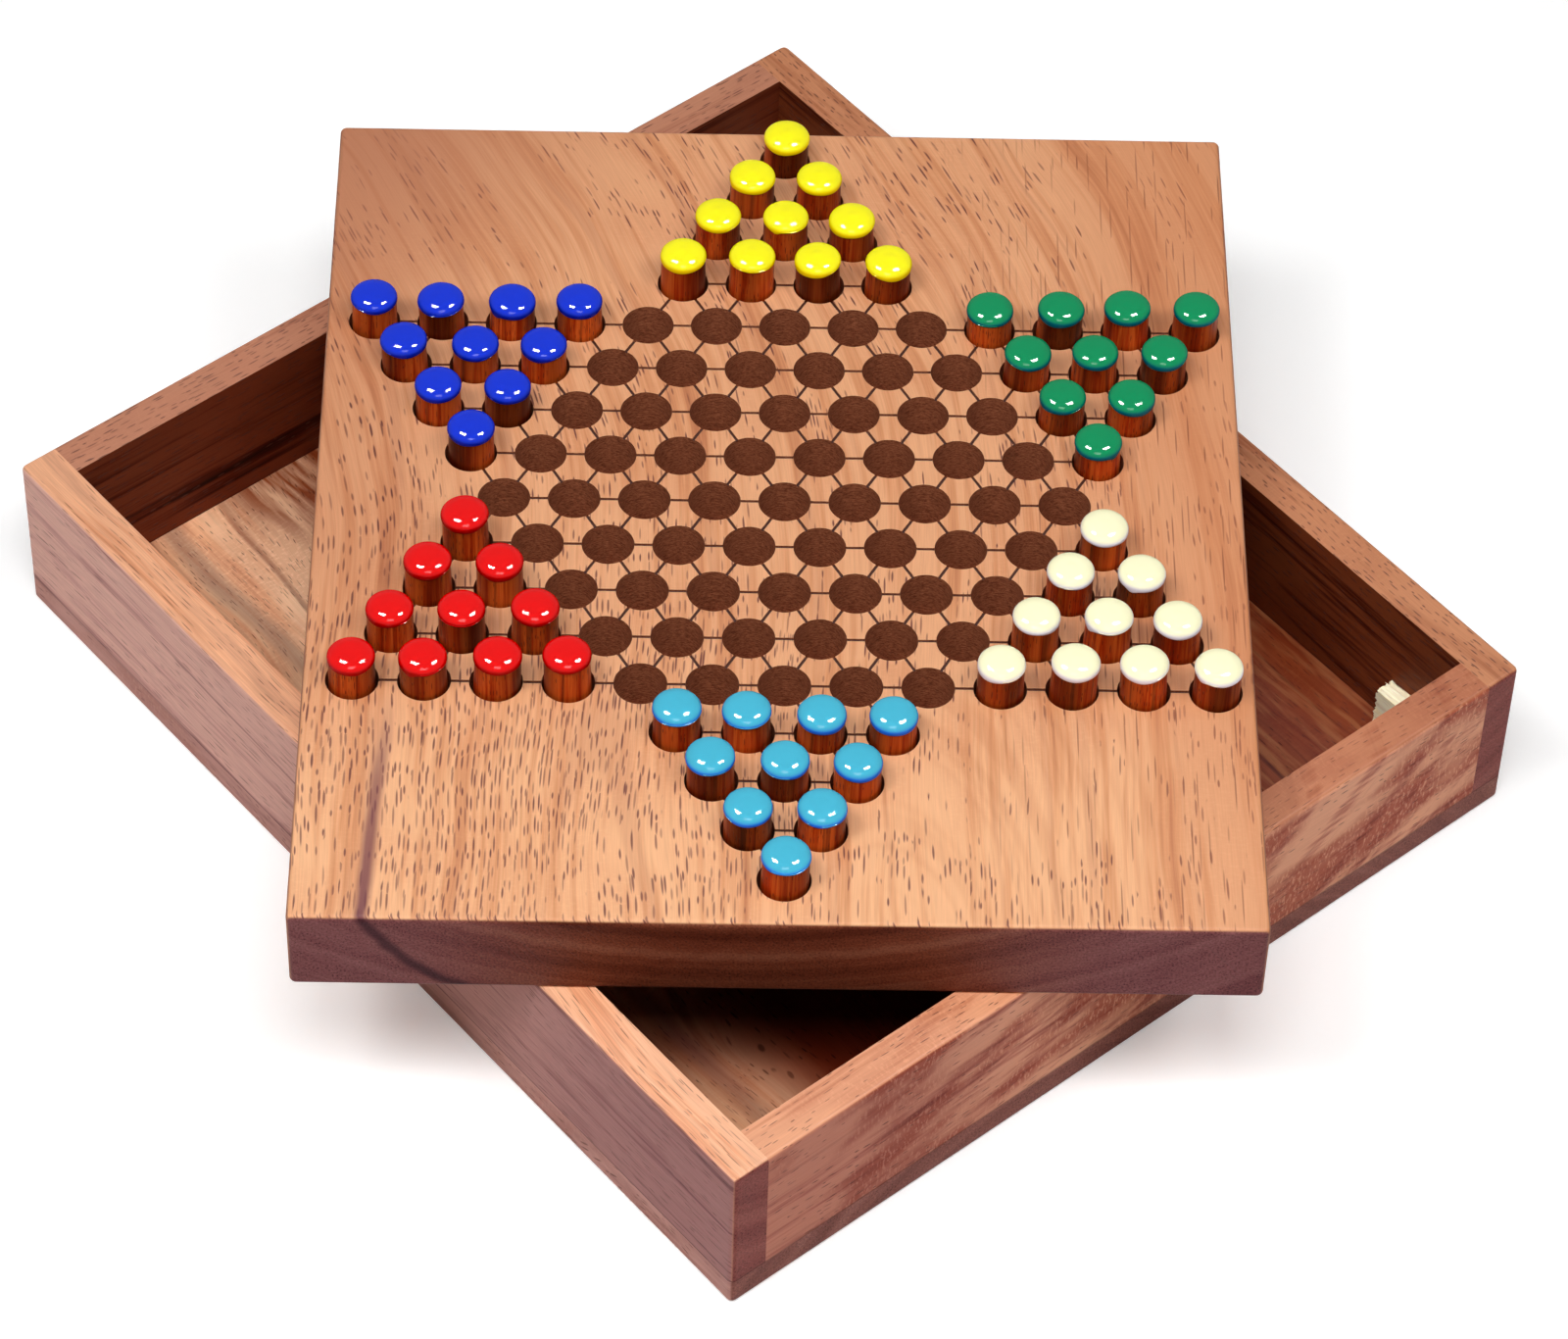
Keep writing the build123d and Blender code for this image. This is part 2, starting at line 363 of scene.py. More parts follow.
def board_top(tree, place, wood):
    """The top, darker at the back left corner and along the right edge, with long lines there."""
    x, y, _ = place
    colour = wood_colour(tree, BOARD_TOP, BOARD_LOOK, wood)
    behind = tree.between(y, -105.0, -30.0)
    colour = tree.shaded(behind, colour, srgb(242, 234, 232))
    left = tree.mul(tree.between(x, -66.0, -104.0), tree.between(y, -80.0, 0.0))
    colour = tree.shaded(left, colour, srgb(238, 230, 228))
    corner = tree.between(tree.length(tree.add(x, 112.0), tree.sub(y, 130.0)), 95.0, 15.0)
    colour = tree.mix(tree.mul(corner, 0.7), colour, srgb(172, 110, 82))
    edge = tree.between(tree.add(x, tree.mul(y, 0.06)), 60.0, 104.0)
    colour = tree.mix(tree.mul(edge, 0.45), colour, srgb(196, 122, 80))
    lines = tree.dashes(x, y, (2.2, 16.0), (0.24, 7.5), 0.38)
    colour = tree.mix(tree.mul(lines, tree.between(x, 30.0, 70.0), 0.72), colour, srgb(120, 64, 46))
    arch = tree.length(tree.sub(x, 22.0), tree.mul(tree.add(y, 150.0), 0.42))
    arch = tree.between(tree.noise_1d(tree.mul(arch, 1 / 5.5), 2.0, 0.5), 0.44, 0.66)
    near_front = tree.between(y, -20.0, -60.0)
    arched = tree.mul(near_front, tree.between(x, -10.0, 20.0), tree.between(x, 96.0, 70.0))
    return tree.shaded(tree.mul(arched, arch, 0.4), colour, srgb(232, 218, 208))


def board_streak(tree, place):
    """1 on the dark growth ring at the left of the front edge, on the top as well as on the end."""
    x, y, z = place
    ring = tree.length(tree.sub(x, BOARD_STREAK_PITH[0]), tree.sub(z, BOARD_STREAK_PITH[1]))
    ring = tree.add(ring, tree.mul(tree.add(y, BOARD_LENGTH / 2), 0.055))
    wander = tree.sub(tree.noise(tree.stretch(x, y, z, 8.0, 26.0)), 0.5)
    ring = tree.add(ring, tree.mul(wander, 2.5))
    streak = tree.between(tree.size(tree.sub(ring, BOARD_STREAK_RADIUS)), 2.4, 0.3)
    return tree.mul(streak, tree.between(y, -52.0, -86.0), tree.between(x, -50.0, -64.0))


def board_holes(tree, place, up, colour):
    """The colour, with the insides of the holes and the floors of the engraved lines."""
    x, y, z = place
    inner = [
        tree.between(tree.size(value), span / 2 - BOARD_RIM + 0.2, span / 2 - BOARD_RIM - 0.2)
        for value, span in ((x, BOARD_WIDTH), (y, BOARD_LENGTH))
    ]
    below = tree.between(z, BOARD_THICKNESS - 0.04, BOARD_THICKNESS - 0.10)
    inside = tree.mul(*inner, below, tree.between(z, 0.5, 1.0))
    turned = tree.noise(tree.join(tree.mul(x, 0.9), tree.mul(y, 0.9), tree.mul(z, 3.0)), 4.0, 0.8)
    bore = tree.mix(tree.scaled(turned, 0.36, 0.64, 0.0, 1.0), BORE_DARK, BORE_PALE)
    colour = tree.mix(inside, colour, bore)
    shallow = tree.between(z, BOARD_THICKNESS - 1.0, BOARD_THICKNESS - 0.8)
    floor = tree.mul(tree.between(up, 0.6, 0.9), shallow)
    return tree.mix(tree.mul(inside, floor), colour, ENGRAVED)


def board_material():
    tree = Tree("board_wood")
    turn = (0, 0, BOARD_TURN)
    place = tree.place(BOARD_MIDDLE, turn)
    x, y, _ = place
    across, along, up = tree.facing(turn)
    wood = board_grain(tree, place)
    colour = board_top(tree, place, wood)
    streak = board_streak(tree, place)
    deeper = tree.scaled(y, -60.0, -BOARD_LENGTH / 2, 0.60, 0.95)
    colour = tree.mix(tree.mul(streak, deeper), colour, srgb(112, 60, 66))

    side = wood_colour(tree, BOARD_SIDE, BOARD_LOOK, wood)
    colour = tree.mix(tree.between(tree.size(across), 0.5, 0.85), colour, side)
    outer = tree.between(tree.size(tree.add(x, 5.0)), 35.0, 85.0)
    end = tree.mix(outer, end_colour(tree, place, BOARD_END, wood, 0.22, BOARD_HEART),
                   end_colour(tree, place, BOARD_END_OUTER, wood, 0.13, BOARD_HEART))
    end = tree.mix(tree.mul(streak, 0.75), end, srgb(40, 16, 26))
    colour = tree.mix(tree.between(tree.size(along), 0.5, 0.85), colour, end)
    return finish_wood(tree, board_holes(tree, place, up, colour), wood)


WALL_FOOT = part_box("long_wall_left")[0].z / MM


def faded(tree, colour, along, fades):
    """The colour, darker by a tint from start to end of each fade. Start may be the larger one."""
    for start, end, tint in fades:
        colour = tree.shaded(tree.between(along, start, end), colour, srgb(*tint))
    return colour


def wall_material(name, origin, turn, look, rim, outer, inner, outward, cap):
    """One wall of the tray. Outward is the axis across it, 0 or 1, and which way on it is out."""
    tree = Tree(name)
    look = {**WOOD, **look}
    place = tree.place(origin, turn)
    wood = grain(tree, place, look)
    facing = tree.facing((0, 0, 0))
    axis, way = outward
    away = tree.mul(facing[axis], float(way))
    along = facing[1 - axis]
    top = wood_colour(tree, rim, look, wood, 0.3)
    top = faded(tree, top, place[1], look.get("rim_fades", ()))
    # The outside's palette; on the left wall it carries a painted mauve sheen
    side = wood_colour(tree, outer, look, wood)
    side = faded(tree, side, place[1], look.get("side_fades", ()))
    colour = tree.mix(tree.between(away, 0.55, 0.85), top, side)
    # The inside's palette holds painted shade
    inside = wood_colour(tree, inner, look, wood, 0.4)
    colour = tree.mix(tree.between(away, -0.55, -0.85), colour, inside)
    end = end_colour(tree, place, cap, wood)
    colour = tree.mix(tree.between(tree.size(along), 0.55, 0.85), colour, end)
    joint = tree.between(tree.add(place[2], origin[2] / MM), WALL_FOOT + 0.7, WALL_FOOT + 0.1)
    colour = tree.mix(tree.mul(joint, 0.55), colour, srgb(48, 22, 20))
    return finish_wood(tree, colour, wood)


BOTTOM_TOP = ((160, 86, 58), (221, 153, 114), (242, 182, 140), (254, 206, 166))
BOTTOM_SIDE = ((104, 60, 58), (150, 100, 94), (174, 124, 114), (190, 140, 128))
BOTTOM_END = ((74, 34, 32), (108, 60, 54), (132, 80, 70), (154, 104, 92))
BOTTOM_LOOK = {
    **WOOD,
    "wander": 30.0, "wander_across": 40.0,
    "pith": (-30.0, -70.0), "ring": 11.0, "contrast": 1.2,
    "vein": srgb(118, 58, 42), "veins": 0.75,
    "pore": srgb(92, 50, 36), "pore_half": (0.16, 1.6), "pore_crowd": 0.5,
    "figure": 0.4, "stain": srgb(200, 156, 138),
}


def bottom_material():
    """The bottom panel, reddish at the front and right, with a stain, a grey strip and painted shade in the
    front gap under the board.
    """
    tree = Tree("bottom_wood")
    place = tree.place((0, 0, 0), ALONG_Y)
    x, y, _ = place
    wander = tree.sub(tree.noise(tree.stretch(x, y, 0.0, 40.0, 60.0)), 0.5)
    strip = tree.add(x, tree.mul(wander, 9.0))
    front = tree.mul(tree.between(strip, -84.0, -58.0), tree.between(y, -30.0, -70.0))
    crowding = tree.mul(tree.between(y, -30.0, -70.0), tree.between(x, 20.0, -20.0), 0.35)
    wood = grain(tree, place, BOTTOM_LOOK, None, crowding)
    colour = wood_colour(tree, BOTTOM_TOP, BOTTOM_LOOK, wood)
    right = tree.mul(tree.between(x, -10.0, 60.0), tree.scaled(y, -50.0, -105.0, 1.0, 0.4))
    redder = tree.math("MAXIMUM", right, front)
    colour = tree.shaded(redder, colour, srgb(188, 130, 98))
    streaks = tree.noise(tree.stretch(strip, y, 0.0, 3.4, 34.0), 3.0, 0.6)
    lit = tree.between(streaks, 0.47, 0.66)
    colour = tree.mix(tree.mul(lit, tree.between(x, 10.0, 60.0), 0.62), colour, srgb(230, 164, 106))
    colour = tree.shaded(front, colour, srgb(190, 164, 160))
    stain = tree.between(tree.length(tree.add(strip, 44.0), tree.mul(tree.sub(y, 126.0), 0.7)), 30.0, 14.0)
    stain = tree.mul(stain, tree.scaled(streaks, 0.42, 0.64, 1.0, 0.40))
    colour = tree.shaded(stain, colour, srgb(142, 88, 62))
    grey_strip = tree.between(strip, -80.0, -86.0)
    colour = tree.shaded(grey_strip, colour, srgb(232, 222, 216))
    # Painted shade: darker away from the near front corner, where the board above shades the floor
    from_corner = tree.length(tree.add(x, 106.0), tree.add(y, 122.0))
    heart_and_painted_shade = tree.between(from_corner, 14.0, 56.0)
    heart_and_painted_shade = tree.mul(heart_and_painted_shade, tree.between(y, -30.0, -70.0), tree.between(x, 25.0, -10.0))
    colour = tree.shaded(heart_and_painted_shade, colour, srgb(142, 112, 106))
    line = tree.between(tree.size(tree.add(strip, 82.0)), 4.0, 0.5)
    colour = tree.mix(tree.mul(line, 0.5), colour, srgb(96, 56, 50))
    across, along, _ = tree.facing((0, 0, 0))
    side = wood_colour(tree, BOTTOM_SIDE, BOTTOM_LOOK, wood)
    colour = tree.mix(tree.between(tree.size(across), 0.5, 0.8), colour, side)
    end = end_colour(tree, place, BOTTOM_END, wood)
    colour = tree.mix(tree.between(tree.size(along), 0.5, 0.8), colour, end)
    return finish_wood(tree, colour, wood)


PEG_SIDE = ((54, 4, 0), (114, 23, 1), (150, 43, 5), (186, 82, 27))
PEG_LOOK = {
    **WOOD,
    "wander": 3.0, "ring": 3.0, "streak": 0.7, "fibre": 0.16,
    "vein": srgb(70, 26, 12), "veins": 0.6, "vein_ring": 2.0,
    "pore": srgb(56, 22, 12), "pore_cell": (0.8, 4.0), "pore_crowd": 0.5,
}
PEG_SPREAD = 0.085             # per millimetre: how fast the pegs' shades differ over the board


def peg_material():
    tree = Tree("peg_wood")
    place = tree.place((0, 0, 0), ALONG_Z)
    x, _, z = place
    wood = grain(tree, place, PEG_LOOK)
    colour = wood_colour(tree, PEG_SIDE, PEG_LOOK, wood)
    spread = tree.noise(tree.join(tree.mul(x, PEG_SPREAD), 0.0, tree.mul(z, PEG_SPREAD)), 1.0)
    colour = tree.times(colour, tree.grey(tree.scaled(spread, 0.34, 0.66, 0.22, 1.25)))
    return finish_wood(tree, colour, wood, 0.34, 0.05)


SOFTWOOD = ((240, 206, 144), (255, 234, 180), (255, 242, 200), (255, 248, 218))
SOFTWOOD_LOOK = {
    **WOOD,
    "wander": 4.0, "ring": 2.4, "streak": 0.5, "fibre": 0.12,
    "vein": srgb(206, 170, 118), "veins": 0.3, "vein_ring": 1.6,
    "pore_depth": 0.25,
}


def softwood_material():
    tree = Tree("softwood")
    wood = grain(tree, tree.place((0, 0, 0), ALONG_Y), SOFTWOOD_LOOK)
    colour = wood_colour(tree, SOFTWOOD, SOFTWOOD_LOOK, wood)
    return finish_wood(tree, colour, wood, 0.85, 0.0, 0.25)


# The edge colours are painted shade: darker and cooler than the tops, for the turned-down sides that get
# less light
ENAMEL = {  # on top, and where the film turns down at the edge
    "yellow": (srgb(252, 244, 14), srgb(246, 212, 0)),
    "blue": (srgb(8, 48, 206), srgb(4, 22, 150)),
    "green": (srgb(0, 140, 86), srgb(0, 86, 104)),
    "red": (srgb(226, 0, 0), srgb(160, 0, 0)),
    "white": (srgb(250, 246, 204), srgb(232, 226, 236)),
    "sky": (srgb(68, 177, 206), srgb(34, 104, 226)),
}


def enamel_material(name, top, edge):
    tree = Tree(name)
    _, _, up = tree.facing((0, 0, 0))
    point = tree.join(*tree.place((0, 0, 0), ALONG_Y))
    tree.relief(tree.noise(point, 1.0, 0.5, 0.55), 0.25, 0.2)
    # The top colour turns to the edge colour, painted shade, where the face turns away from up
    tree.surface({
        "Base Color": tree.mix(tree.between(up, 0.15, 0.85), edge, top),
        "Roughness": 0.35, "Specular IOR Level": 0.0,
        "Coat Weight": 0.30, "Coat Roughness": 0.02,
    })
    return tree.material


def dress(thing, material):
    thing.data.materials.clear()
    thing.data.materials.append(material)


def node(name):
    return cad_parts[name]


# The left wall's outside: its wood tones carry a painted sheen, a cool mauve cast for the white room
# reflected on the upright face
OUTER_LEFT_MAUVE_SHEEN = ((100, 54, 54), (158, 106, 100), (192, 141, 130), (212, 163, 148))
OUTER_FRONT = ((100, 40, 32), (152, 84, 68), (190, 122, 98), (218, 156, 124))
OUTER_BACK = ((112, 66, 58), (146, 98, 84), (168, 120, 102), (182, 134, 114))
RIM_LEFT = ((178, 104, 74), (206, 136, 100), (226, 156, 116), (240, 178, 140))
RIM_FRONT = ((142, 78, 54), (182, 114, 84), (206, 136, 100), (224, 158, 120))
RIM_RIGHT = ((98, 50, 30), (137, 79, 52), (166, 102, 69), (193, 129, 91))
RIM_BACK = ((100, 46, 32), (136, 78, 58), (160, 100, 76), (184, 124, 96))
# The insides' palettes are painted dark as shade, for the shadow that the board casts into the tray
INNER_RIGHT_SHADED = ((12, 1, 0), (40, 7, 2), (74, 23, 9), (124, 60, 32))
INNER_BACK_SHADED = ((20, 2, 1), (46, 8, 3), (76, 22, 8), (116, 52, 29))
# End grain of the walls, darker than their faces, with a painted mauve sheen like the left wall's outside
END_CUT = ((74, 26, 28), (108, 48, 46), (130, 68, 62), (148, 88, 78))
# Each wall: origin in millimetres, turn, look, rim, outside, inside, outward, end grain
WALLS = {
    "long_wall_left": ((130, 0, 20), ALONG_Y, {
        "pith": (-200.0, 90.0), "ring": 9.0, "wander": 15.0, "veins": 0.6, "vein": srgb(112, 60, 62),
        "vein_ring": 3.6, "pore_half": (0.16, 3.2), "pore_cell": (1.2, 7.0), "pore_depth": 0.65,
        "contrast": 1.9, "fibre": 0.16, "side_fades": [(90.0, -125.0, (190, 172, 182))],
        "rim_fades": [(-40.0, 80.0, (236, 232, 226))],
    }, RIM_LEFT, OUTER_LEFT_MAUVE_SHEEN, INNER_BACK_SHADED, (0, -1), END_CUT),
    "long_wall_right": ((-130, 0, 20), ALONG_Y, {
        "pith": (205.0, 85.0), "ring": 8.0, "wander": 12.0, "drift": 0.10, "pore_crowd": 0.12,
        "pore_half": (0.24, 1.6), "figure": 0.6, "contrast": 1.5, "veins": 0.7, "vein": srgb(62, 24, 15),
    }, RIM_RIGHT, OUTER_BACK, INNER_RIGHT_SHADED, (0, 1), END_CUT),
    "short_wall_front": ((0, 130, 20), ALONG_X, {
        "pith": (-225.0, 95.0), "ring": 9.0, "wander": 8.0, "wander_across": 30.0, "wander_along": 70.0,
        "drift": -0.50, "bow": 0.0027, "contrast": 1.7, "pore_crowd": 0.5,
        "veins": 0.25, "vein": srgb(122, 54, 44), "figure": 0.9, "stain": srgb(186, 126, 118),
        "rim_fades": [(30.0, -90.0, (210, 190, 180))], "side_fades": [(0.0, 90.0, (216, 196, 204))],
    }, RIM_FRONT, OUTER_FRONT, INNER_BACK_SHADED, (1, -1), END_CUT),
    "short_wall_back": ((0, -130, 20), ALONG_X, {
        "pith": (215.0, 90.0), "ring": 8.0, "wander": 9.0, "pore_crowd": 0.10,
        "pore_half": (0.24, 2.0), "figure": 0.4, "contrast": 1.5, "veins": 0.6, "vein": srgb(84, 36, 24),
    }, RIM_BACK, OUTER_BACK, INNER_BACK_SHADED, (1, 1), END_CUT),
}


def dress_tray_and_board():
    dress(node("board"), board_material())
    dress(node("bottom_panel"), bottom_material())
    for name, (origin, *settings) in WALLS.items():
        dress(node(name), wall_material(f"{name}_wood", [value * MM for value in origin], *settings))


# Enamel caps
CAP_SEGMENTS = 48
CAP_FILM = 0.35
CAP_DEPTH = 2.2
CAP_LIFT = 0.25               # the enamel is thicker on top
CAP_SHOULDER = 3.4            # how far in from the edge the top starts to turn down
CAP_DROP = 1.9                # how far the rounded edge comes down
CAP_TOP_STEPS = 6
CAP_EDGE_STEPS = 12
CAP_OVER = 0.24               # how far the enamel stands out from the peg's side
CAP_INTO = 0.4                # how far its lip reaches into the wood
CAP_LIP = ((0.0, 0.45), (0.03, 0.18), (0.10, 0.04), (0.22, 0.0))   # inward and up from its lowest edge
YELLOW_CROWN = 0.20           # the yellow caps are fuller
DRIP_CHANCE = 0.22
DRIP_WIDTH = 0.24


def peg_tops(name):
    """Middle, axis and radius, in millimetres, of the flat top of each peg in a node."""
    mesh = bmesh.new()
    mesh.from_mesh(node(name).data)
    bmesh.ops.remove_doubles(mesh, verts=mesh.verts, dist=1e-6)
    seen, tops = set(), []
    for start in mesh.verts:
        if start in seen:
            continue
        island, waiting = [], [start]
        seen.add(start)
        while waiting:
            vert = waiting.pop()
            island.append(vert)
            for edge in vert.link_edges:
                other = edge.other_vert(vert)
                if other not in seen:
                    seen.add(other)
                    waiting.append(other)
        tops.append(peg_top(island))
    mesh.free()
    return sorted(tops, key=lambda top: (round(top[0].x, 1), round(top[0].y, 1)))


def peg_top(island):
    middle = sum((vert.co for vert in island), Vector()) / len(island)
    faces = {face for vert in island for face in vert.link_faces}
    flat = [face for face in faces if face.normal.z > 0.98 and face.calc_center_median().z > middle.z]
    area = sum(face.calc_area() for face in flat)
    centre = sum((face.calc_center_median() * face.calc_area() for face in flat), Vector()) / area
    axis = sum((face.normal * face.calc_area() for face in flat), Vector()).normalized()
    reach = max(((vert.co - centre) - axis * (vert.co - centre).dot(axis)).length
                for vert in island if (vert.co - centre).dot(axis) > -2.0 * MM)
    return centre / MM, axis, reach / MM


def cap_profile(radius, crown, low, inside):
    """Points (radius, height above the wood's top) from the middle of the top down to the lip and back."""
    points = []
    shoulder = radius - CAP_SHOULDER
    for step in range(1, CAP_TOP_STEPS + 1):
        share = step / CAP_TOP_STEPS
        points.append((shoulder * share, CAP_FILM + CAP_LIFT + crown * (1 - share ** 2) ** 2))
    for step in range(1, CAP_EDGE_STEPS + 1):
        angle = math.radians(90 * step / CAP_EDGE_STEPS)
        height = CAP_FILM + CAP_LIFT - CAP_DROP * (1 - math.cos(angle))
        points.append((shoulder + CAP_SHOULDER * math.sin(angle), height))
    points += [(radius - inward, low + up) for inward, up in CAP_LIP]
    points.append((inside, low + 0.05))
    return points


def make_caps(colour, row, material):
    mesh = bmesh.new()
    for number, (centre, axis, reach) in enumerate(peg_tops(f"{colour}_pegs_row_{row}")):
        chance = random.Random(f"{colour} {row} {number}")
        radius = reach + CAP_OVER
        crown = chance.uniform(0.08, 0.16) + (YELLOW_CROWN if colour == "yellow" else 0.0)
        slant, way = chance.uniform(0.05, 0.4), chance.uniform(0, math.tau)
        second, third = chance.uniform(0, math.tau), chance.uniform(0, math.tau)
        drip = chance.uniform(0.4, 1.1) if chance.random() < DRIP_CHANCE else 0.0
        drip_way = chance.uniform(0, math.tau)
        frame_turn = axis.to_track_quat("Z", "Y").to_matrix()
        rings = []
        for segment in range(CAP_SEGMENTS):
            angle = math.tau * segment / CAP_SEGMENTS
            gap = math.remainder(angle - drip_way, math.tau)
            low = -CAP_DEPTH + CAP_FILM + slant * math.cos(angle - way) + 0.10 * math.sin(2 * angle + second)
            low += 0.06 * math.sin(5 * angle + third) - drip * math.exp(-(gap / DRIP_WIDTH) ** 2)
            ring = []
            for along, up in cap_profile(radius, crown, low, reach - CAP_INTO):
                point = Vector((along * math.cos(angle), along * math.sin(angle), up))
                ring.append(mesh.verts.new((centre + frame_turn @ point) * MM))
            rings.append(ring)
        top = mesh.verts.new((centre + axis * (CAP_FILM + CAP_LIFT + crown)) * MM)
        for ring, following in zip(rings, rings[1:] + rings[:1]):
            mesh.faces.new((top, ring[0], following[0]))
            for inner, outer in zip(range(len(ring) - 1), range(1, len(ring))):
                mesh.faces.new((ring[inner], ring[outer], following[outer], following[inner]))
        mesh.faces.new([ring[-1] for ring in reversed(rings)])
    bmesh.ops.recalc_face_normals(mesh, faces=mesh.faces)
    for face in mesh.faces:
        face.smooth = len(face.verts) < 5
    piece = finished_piece(mesh, f"{colour}_enamel_row_{row}", material)
    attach(piece, f"{colour}_row_{row}")
    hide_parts(f"{colour}_caps_row_{row}")


def finished_piece(mesh, name, material):
    data = bpy.data.meshes.new(name)
    mesh.to_mesh(data)
    mesh.free()
    data.materials.append(material)
    piece = bpy.data.objects.new(name, data)
    bpy.context.collection.objects.link(piece)
    return piece


def dress_pegs():
    peg_wood = peg_material()
    for colour, (top, edge) in ENAMEL.items():
        enamel = enamel_material(f"{colour}_enamel", top, edge)
        for row in range(1, ARM_ROWS + 1):
            dress(node(f"{colour}_pegs_row_{row}"), peg_wood)
            dress(node(f"{colour}_caps_row_{row}"), enamel)
            make_caps(colour, row, enamel)


# Rough-sawn blocks
BLOCK_CELL = 0.45
TORN_LENGTH = 1.2             # how far from the sawn end the fibres are torn
SPLINTERS = 9
SPLINTER_STEPS = 5
SPLINTER_TURNS = (0.0, 2.1, 4.2)


def box_skin(mesh, low, high, cell):
    """A closed box of small square faces, in millimetres."""
    size = high - low
    counts = [max(1, round(value / cell)) for value in size]
    for axis in range(3):
        first, second = (axis + 1) % 3, (axis + 2) % 3
        for side in (0, 1):
            rows = []
            for i in range(counts[first] + 1):
                line = []
                for j in range(counts[second] + 1):
                    point = [0.0, 0.0, 0.0]
                    point[axis] = high[axis] if side else low[axis]
                    point[first] = low[first] + size[first] * i / counts[first]
                    point[second] = low[second] + size[second] * j / counts[second]
                    line.append(mesh.verts.new(point))
                rows.append(line)
            for line, following in zip(rows, rows[1:]):
                for j in range(counts[second]):
                    mesh.faces.new((line[j], following[j], following[j + 1], line[j + 1]))
    bmesh.ops.remove_doubles(mesh, verts=mesh.verts, dist=cell / 100)
    bmesh.ops.recalc_face_normals(mesh, faces=mesh.faces)


def splinter(mesh, foot, tip, thick, bend):
    """A thin bent sliver of three-sided section."""
    axis = (tip - foot).normalized()
    side = axis.orthogonal().normalized()
    across = axis.cross(side)
    rings = []
    for step in range(SPLINTER_STEPS + 1):
        share = step / SPLINTER_STEPS
        middle = foot.lerp(tip, share) + bend * math.sin(math.pi * share)
        width = thick * (1 - 0.85 * share)
        spokes = [side * math.cos(turn) + across * math.sin(turn) for turn in SPLINTER_TURNS]
        rings.append([mesh.verts.new(middle + spoke * width) for spoke in spokes])
    for ring, following in zip(rings, rings[1:]):
        for i in range(3):
            mesh.faces.new((ring[i], ring[(i + 1) % 3], following[(i + 1) % 3], following[i]))
    mesh.faces.new(list(reversed(rings[0])))
    mesh.faces.new(rings[-1])


def roughen(mesh, low, high, end, to_middle, chance):
    """Uneven ridges along the top and torn fibres at the end that faces the middle of the tray."""
    length = high.y - low.y
    ridges, torn = {}, {}
    for vert in mesh.verts:
        x, z = round(vert.co.x, 2), round(vert.co.z, 2)
        ridge = ridges.setdefault(x, chance.uniform(-0.35, 0.0))
        pull = chance.uniform(-1.5, 0.1) if chance.random() < 0.5 else chance.uniform(-0.4, 0.0)
        fibre = torn.setdefault((x, z), pull)
        near_end = max(0.0, 1 - abs(end - vert.co.y) / TORN_LENGTH)
        if near_end:
            vert.co.y += fibre * near_end * to_middle
        if vert.co.z > high.z - 0.01:
            worn = max(0.0, 1 - abs(end - vert.co.y) / (0.4 * length))
            vert.co.z += ridge * (0.5 + worn) - 0.5 * worn
    bmesh.ops.recalc_face_normals(mesh, faces=mesh.faces)


def add_splinters(mesh, free_x, out, low, high, end, to_middle, chance):
    """Loose slivers on the torn end. Out is the way from the wall that the block stands against."""
    for _ in range(SPLINTERS):
        start_x = free_x - out * chance.uniform(0.3, 4.0)
        foot = Vector((start_x, end - 0.6 * to_middle, chance.uniform(low.z + 2, high.z - 0.6)))
        reach_x = out * chance.uniform(-0.2, 0.5)
        reach_y = to_middle * chance.uniform(0.9, 1.9)
        reach = Vector((reach_x, reach_y, chance.uniform(-0.3, 0.9)))
        thick = chance.uniform(0.10, 0.22)
        splinter(mesh, foot, foot + reach, thick, Vector((0, 0, chance.uniform(-0.2, 0.3))))


def make_block(corner, material):
    name = f"support_block_{corner}"
    low, high = (Vector(value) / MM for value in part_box(name))
    chance = random.Random(name)
    to_middle = 1.0 if corner.startswith("front") else -1.0
    end = high.y if to_middle > 0 else low.y
    out = 1.0 if corner.endswith("left") else -1.0
    free_x = high.x if out > 0 else low.x
    mesh = bmesh.new()
    box_skin(mesh, low, high, BLOCK_CELL)
    roughen(mesh, low, high, end, to_middle, chance)
    add_splinters(mesh, free_x, out, low, high, end, to_middle, chance)
    if corner == "front_right":
        # A long sliver on the block that shows from the camera
        foot = Vector((free_x + 0.25, end - 9.0 * to_middle, low.z + 2.0))
        reach = Vector((out * 3.4, to_middle * 4.5, -0.9))
        splinter(mesh, foot, foot + reach, 0.42, Vector((0.5, 0, 0.5)))
    for vert in mesh.verts:
        vert.co *= MM
    piece = finished_piece(mesh, f"rough_block_{corner}", material)
    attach(piece, "tray")
    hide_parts(name)


def make_blocks():
    softwood = softwood_material()
    for corner in BLOCK_CORNERS:
        dress(node(f"support_block_{corner}"), softwood)
        make_block(corner, softwood)


# Stage
def make_floor():
    bpy.ops.mesh.primitive_plane_add(size=FLOOR_SIZE, location=(0, 0, 0))
    floor = bpy.context.object
    floor.name = "floor"
    tree = Tree("floor_white")
    rays = tree.made("ShaderNodeLightPath", {})
    tree.surface({
        "Base Color": (0.9, 0.9, 0.9, 1.0), "Roughness": 1.0, "Specular IOR Level": 0.0,
        "Emission Color": (1.0, 1.0, 1.0, 1.0),
        "Emission Strength": tree.mul(rays.outputs["Is Camera Ray"], FLOOR_GLOW),
    })
    floor.data.materials.append(tree.material)


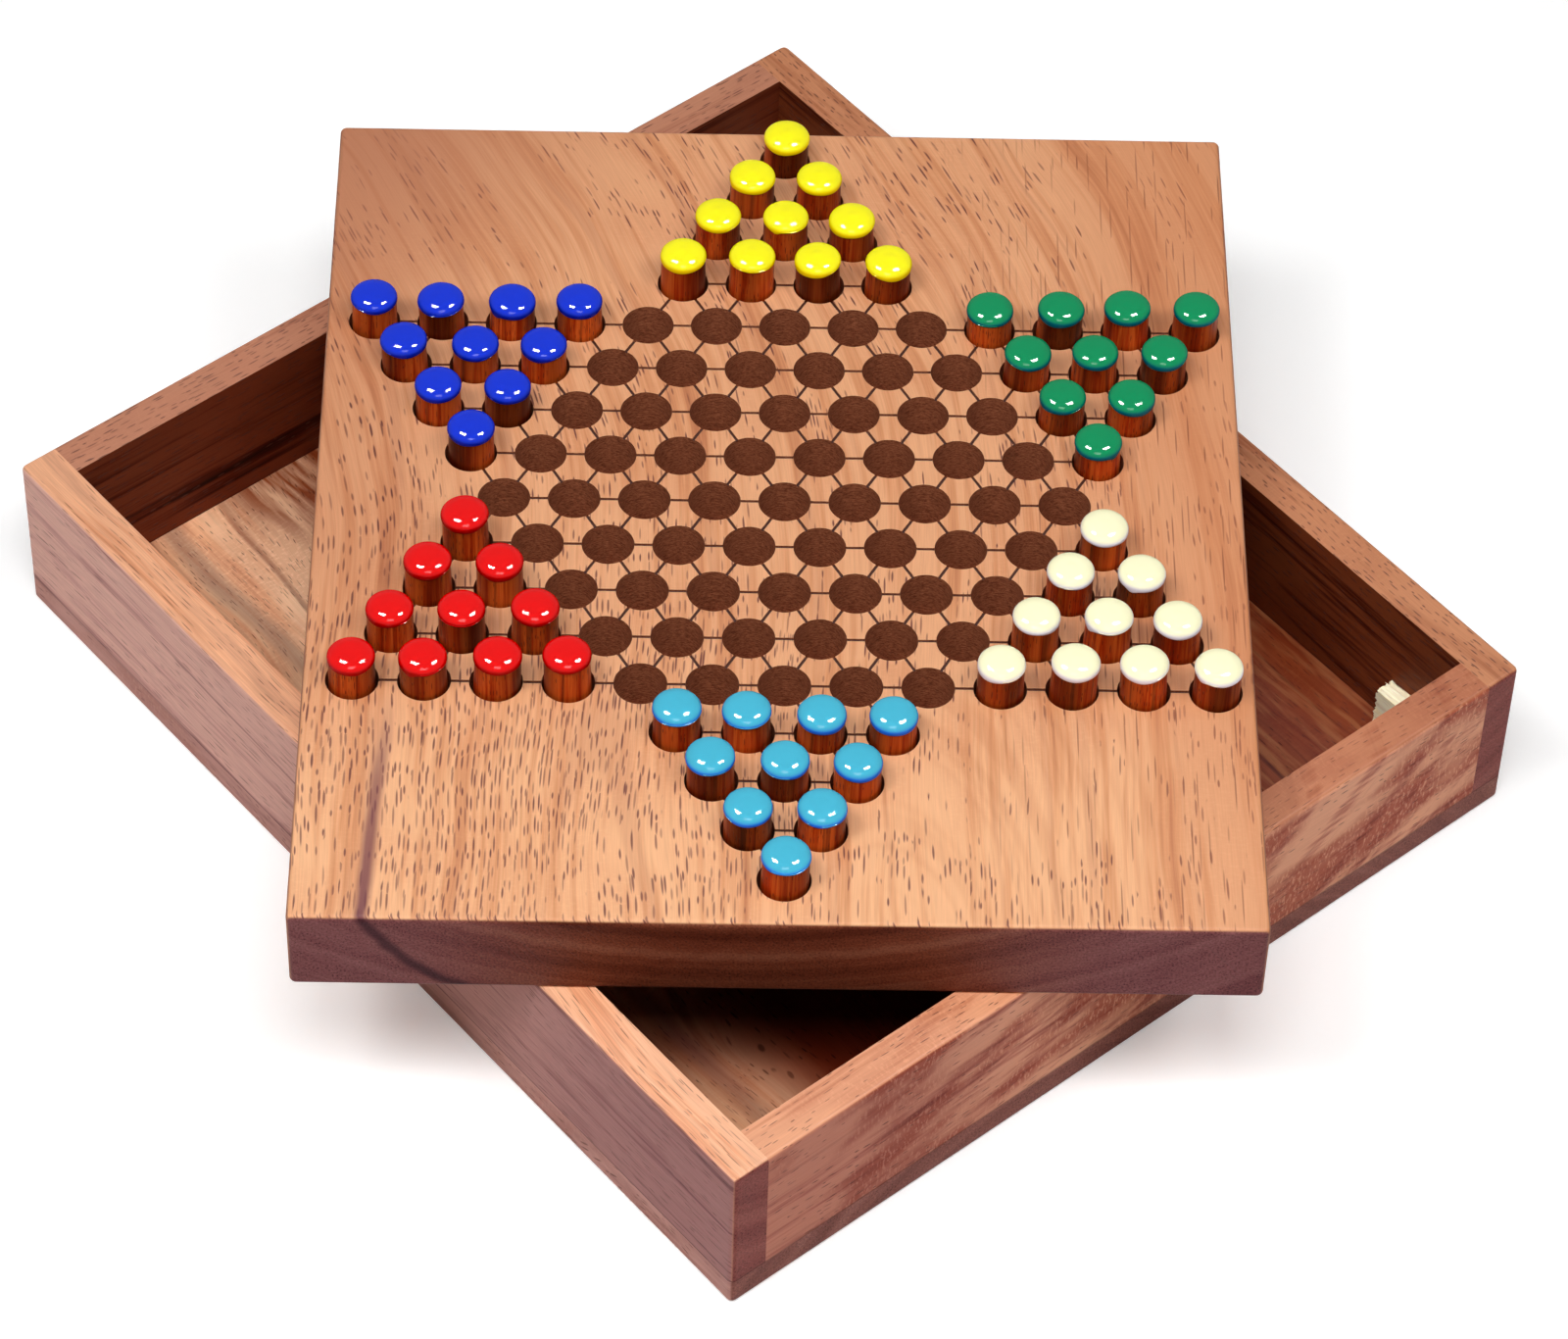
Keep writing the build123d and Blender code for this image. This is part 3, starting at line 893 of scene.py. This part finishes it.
def make_world():
    """A dim white world, which is full white to the camera and to glossy and transmission rays."""
    world = bpy.data.worlds.new("studio")
    bpy.context.scene.world = world
    world.use_nodes = True
    nodes, links = world.node_tree.nodes, world.node_tree.links
    background = nodes["Background"]
    background.inputs["Color"].default_value = (1, 1, 1, 1)
    rays = nodes.new("ShaderNodeLightPath")
    seen = rays.outputs["Is Camera Ray"]
    for name in ("Is Glossy Ray", "Is Transmission Ray"):
        most = nodes.new("ShaderNodeMath")
        most.operation = "MAXIMUM"
        links.new(seen, most.inputs[0])
        links.new(rays.outputs[name], most.inputs[1])
        seen = most.outputs[0]
    strength = nodes.new("ShaderNodeMix")
    strength.inputs[2].default_value = WORLD_LIGHT
    strength.inputs[3].default_value = 1.0
    links.new(seen, strength.inputs[0])
    links.new(strength.outputs[0], background.inputs["Strength"])


def make_lights():
    for name, (azimuth, elevation, distance, width, power, in_colour, in_gloss) in LIGHTS.items():
        data = bpy.data.lights.new(name, "AREA")
        data.shape = "SQUARE"
        data.size = width
        data.energy = power
        lamp = bpy.data.objects.new(name, data)
        bpy.context.collection.objects.link(lamp)
        heading = math.radians(CAMERA_AZIMUTH - azimuth)
        rise = math.radians(elevation)
        flat = math.cos(rise)
        away = Vector((-math.sin(heading) * flat, -math.cos(heading) * flat, math.sin(rise)))
        lamp.location = away * distance
        lamp.rotation_mode = "QUATERNION"
        lamp.rotation_quaternion = away.to_track_quat("Z", "Y")
        lamp.visible_diffuse = in_colour
        lamp.visible_glossy = in_gloss


def make_camera():
    data = bpy.data.cameras.new("camera")
    data.lens = CAMERA_LENS
    data.sensor_width = CAMERA_SENSOR
    data.clip_start, data.clip_end = CAMERA_RANGE
    camera = bpy.data.objects.new("camera", data)
    bpy.context.collection.objects.link(camera)
    forward = (CAMERA_AIM - CAMERA_PLACE).normalized()
    level = forward.to_track_quat("-Z", "Y").to_matrix()
    roll = Matrix.Rotation(math.radians(CAMERA_ROLL), 3, "Z")
    camera.matrix_world = Matrix.Translation(CAMERA_PLACE) @ (level @ roll).to_4x4()
    bpy.context.scene.camera = camera


make_camera()
make_floor()
make_world()
make_lights()
dress_tray_and_board()
dress_pegs()
make_blocks()
bpy.context.scene.view_settings.view_transform = "Standard"

bpy.context.view_layer.update()
